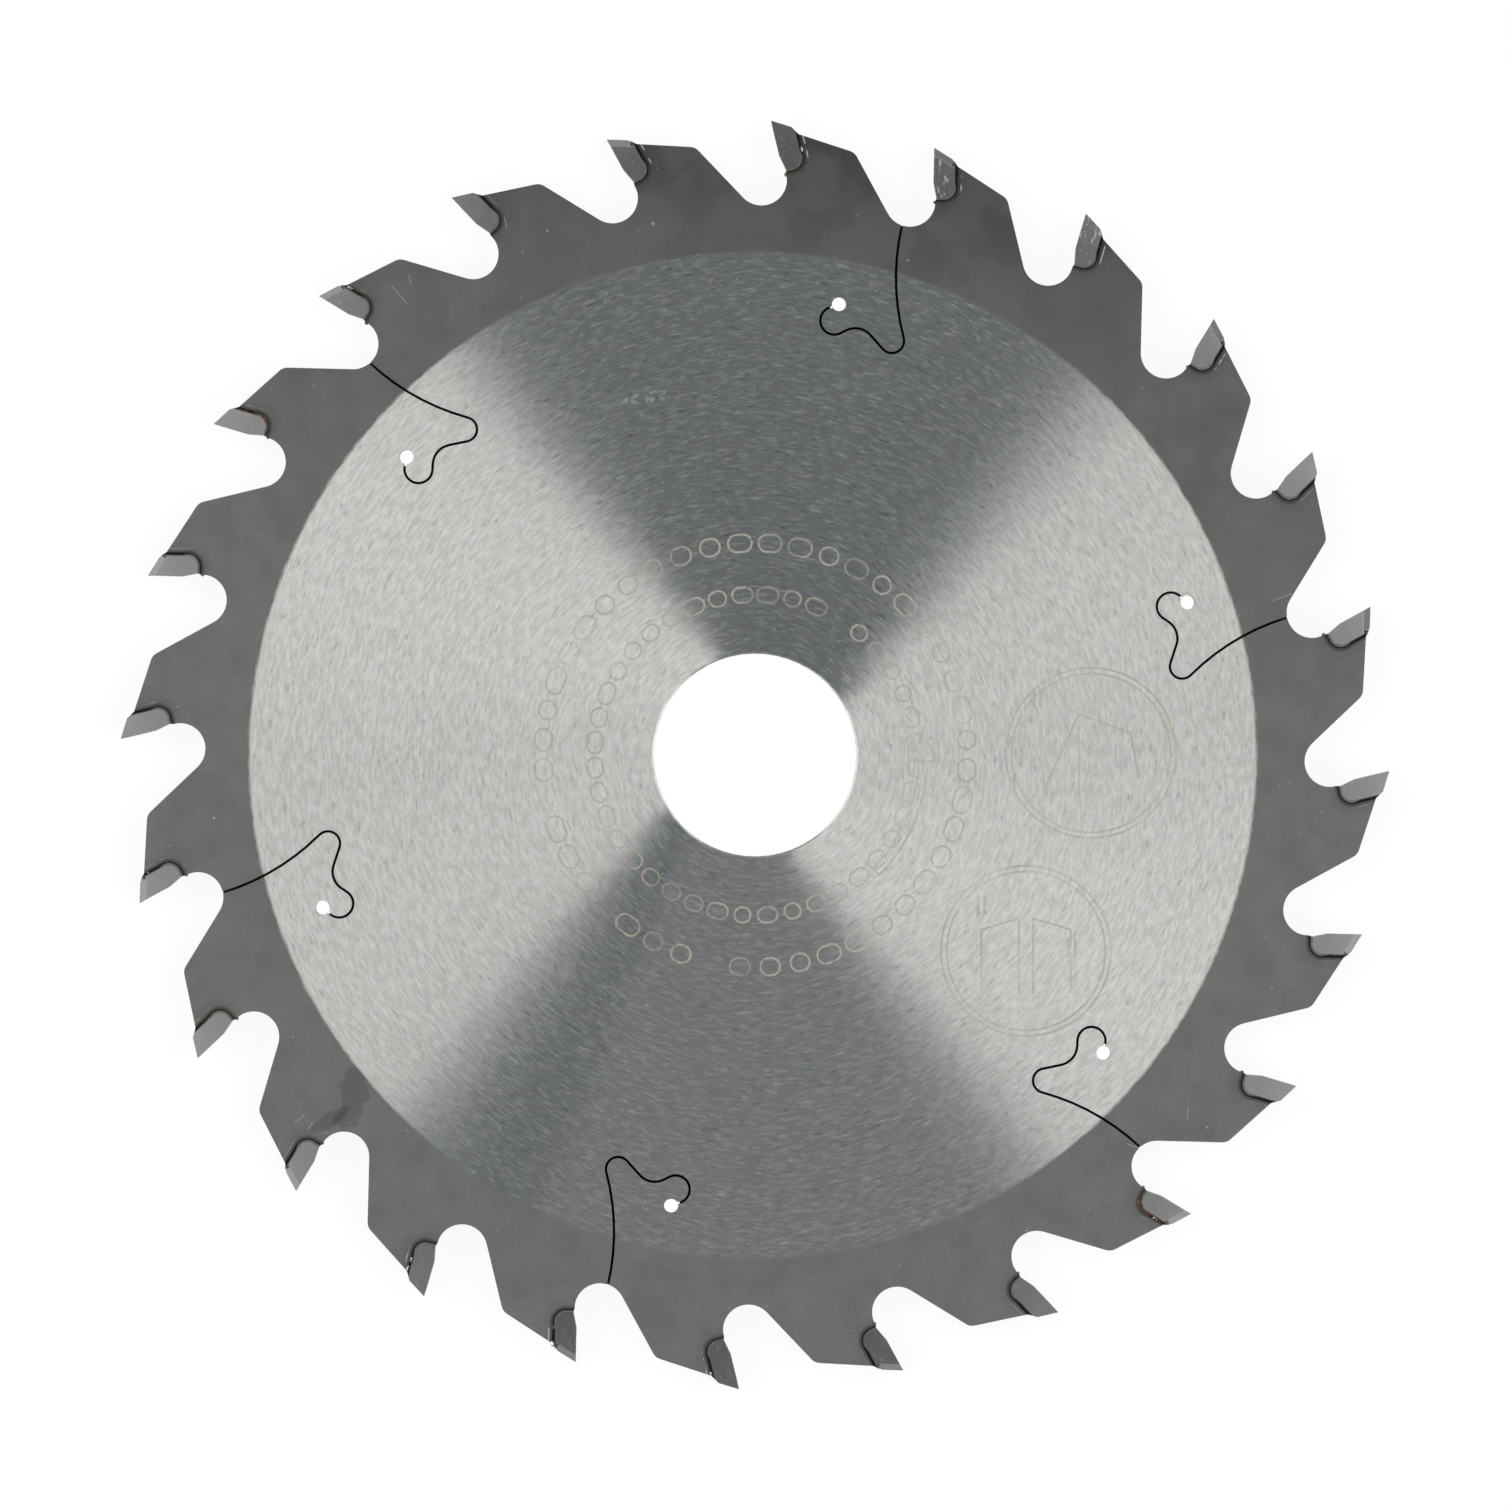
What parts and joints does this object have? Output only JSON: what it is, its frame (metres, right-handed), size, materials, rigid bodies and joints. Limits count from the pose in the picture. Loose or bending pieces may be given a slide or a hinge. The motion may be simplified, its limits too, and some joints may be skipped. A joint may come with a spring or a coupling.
{
  "type": "circular saw blade",
  "caption": "Flat circular saw blade for wood and composites: steel plate with brazed carbide tips, laser-cut expansion slots and a plain round bore.",
  "frame": {"origin": "centre of the bore, half way through the plate", "axes": "+Z along the bore's axis, out of the marked face; +Y through the middle of a gullet with an expansion slot; +X to the right of it as the marked face is seen"},
  "size_m": [0.125, 0.125, 0.0028],
  "materials": {
    "ground_steel": "ground in circles inside, dull grey round the teeth",
    "carbide": "fine-ground grey carbide",
    "braze": "dark, flux-stained silver solder"
  },
  "bodies": {
    "root": {"steel_plate": "ground_steel", "carbide_tip_01": "carbide", "carbide_tip_02": "carbide", "carbide_tip_03": "carbide", "carbide_tip_04": "carbide", "carbide_tip_05": "carbide", "carbide_tip_06": "carbide", "carbide_tip_07": "carbide", "carbide_tip_08": "carbide", "carbide_tip_09": "carbide", "carbide_tip_10": "carbide", "carbide_tip_11": "carbide", "carbide_tip_12": "carbide", "carbide_tip_13": "carbide", "carbide_tip_14": "carbide", "carbide_tip_15": "carbide", "carbide_tip_16": "carbide", "carbide_tip_17": "carbide", "carbide_tip_18": "carbide", "carbide_tip_19": "carbide", "carbide_tip_20": "carbide", "carbide_tip_21": "carbide", "carbide_tip_22": "carbide", "carbide_tip_23": "carbide", "carbide_tip_24": "carbide", "braze_seam_01": "braze", "braze_seam_02": "braze", "braze_seam_03": "braze", "braze_seam_04": "braze", "braze_seam_05": "braze", "braze_seam_06": "braze", "braze_seam_07": "braze", "braze_seam_08": "braze", "braze_seam_09": "braze", "braze_seam_10": "braze", "braze_seam_11": "braze", "braze_seam_12": "braze", "braze_seam_13": "braze", "braze_seam_14": "braze", "braze_seam_15": "braze", "braze_seam_16": "braze", "braze_seam_17": "braze", "braze_seam_18": "braze", "braze_seam_19": "braze", "braze_seam_20": "braze", "braze_seam_21": "braze", "braze_seam_22": "braze", "braze_seam_23": "braze", "braze_seam_24": "braze"}
  },
  "joints": []
}
